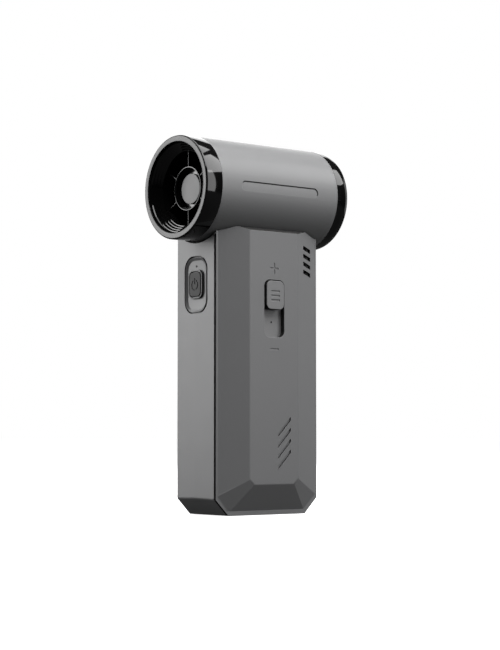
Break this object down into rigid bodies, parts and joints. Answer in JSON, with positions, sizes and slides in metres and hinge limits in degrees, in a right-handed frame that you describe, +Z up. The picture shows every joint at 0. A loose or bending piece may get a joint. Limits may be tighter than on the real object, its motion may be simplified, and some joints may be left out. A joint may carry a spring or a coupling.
{
  "type": "electric air pump",
  "caption": "Cordless turbine air pump: ducted fan in a horizontal barrel on a faceted upright handle, with front power button and side speed slider.",
  "frame": {"origin": "centre of the handle's base, on the surface that the pump stands on, straight below the duct's middle", "axes": "+Z up the handle; -Y is the way the air leaves, along the duct; +X is the side with the speed slider"},
  "size_m": [0.046, 0.0826, 0.1669],
  "materials": {
    "body_grey": "satin, fine texture",
    "button_grey": "satin",
    "gloss_black": "high gloss",
    "black_plastic": "satin",
    "cap_grey": "satin",
    "rubber": "matte",
    "lamination_steel": "varnished",
    "copper_wire": "enamelled",
    "circuit_board": "solder mask",
    "wire_sleeve": "satin",
    "bearing_steel": "ground",
    "magnet": "plated",
    "plated_steel": "plated",
    "switch_plastic": "moulded",
    "led_resin": "clear",
    "smoked_lens": "smoked",
    "chip_black": "moulded",
    "capacitor_sleeve": "shrink sleeve",
    "cell_wrap": "shrink wrap",
    "nickel": "bright",
    "foam": "open cell"
  },
  "bodies": {
    "housing": {"main_shell": "body_grey", "side_cover": "body_grey", "barrel": "body_grey", "outlet_ring": "gloss_black", "inlet_ring": "gloss_black", "inlet_grille": "black_plastic", "inlet_bell": "black_plastic", "fan_duct": "black_plastic", "hub_cap": "cap_grey", "damper_rings": "rubber", "stator_core": "lamination_steel", "stator_coils": "copper_wire", "motor_board": "circuit_board", "motor_leads": "wire_sleeve", "bearing_outer_races": "bearing_steel", "bearing_balls": "bearing_steel", "power_panel": "body_grey", "tact_switch": "black_plastic", "button_board": "circuit_board", "status_led": "led_resin", "indicator_lens": "smoked_lens", "slide_pot": "black_plastic", "main_board": "circuit_board", "board_chips": "chip_black", "capacitors": "capacitor_sleeve", "wire_connectors": "switch_plastic", "usb_board": "circuit_board", "usb_port": "plated_steel", "battery_cells": "cell_wrap", "battery_cradle": "black_plastic", "nickel_strips": "nickel", "battery_leads": "wire_sleeve", "foam_pads": "foam", "case_screws": "plated_steel", "neck_screws": "plated_steel", "board_screws": "plated_steel"},
    "button": {"power_button": "button_grey", "switch_plunger": "switch_plastic"},
    "slider": {"speed_knob": "body_grey", "slider_shutter": "body_grey", "pot_lever": "switch_plastic"},
    "rotor": {"impeller": "black_plastic", "impeller_nut": "plated_steel", "motor_shaft": "bearing_steel", "rotor_magnet": "magnet", "bearing_inner_races": "bearing_steel"}
  },
  "joints": [
    {"name": "button_press", "type": "slide", "parent": "housing", "child": "button", "axis": [0, 1, 0], "range_m": [0, 0.0005], "stiffness_N_per_m": 2500, "springref_m": -0.0004},
    {"name": "slider_travel", "type": "slide", "parent": "housing", "child": "slider", "axis": [0, 0, 1], "range_m": [-0.012, 0]},
    {"name": "rotor_spin", "type": "hinge", "parent": "housing", "child": "rotor", "pos_m": [0, 0, 0.14385], "axis": [0, 1, 0], "continuous": true}
  ]
}
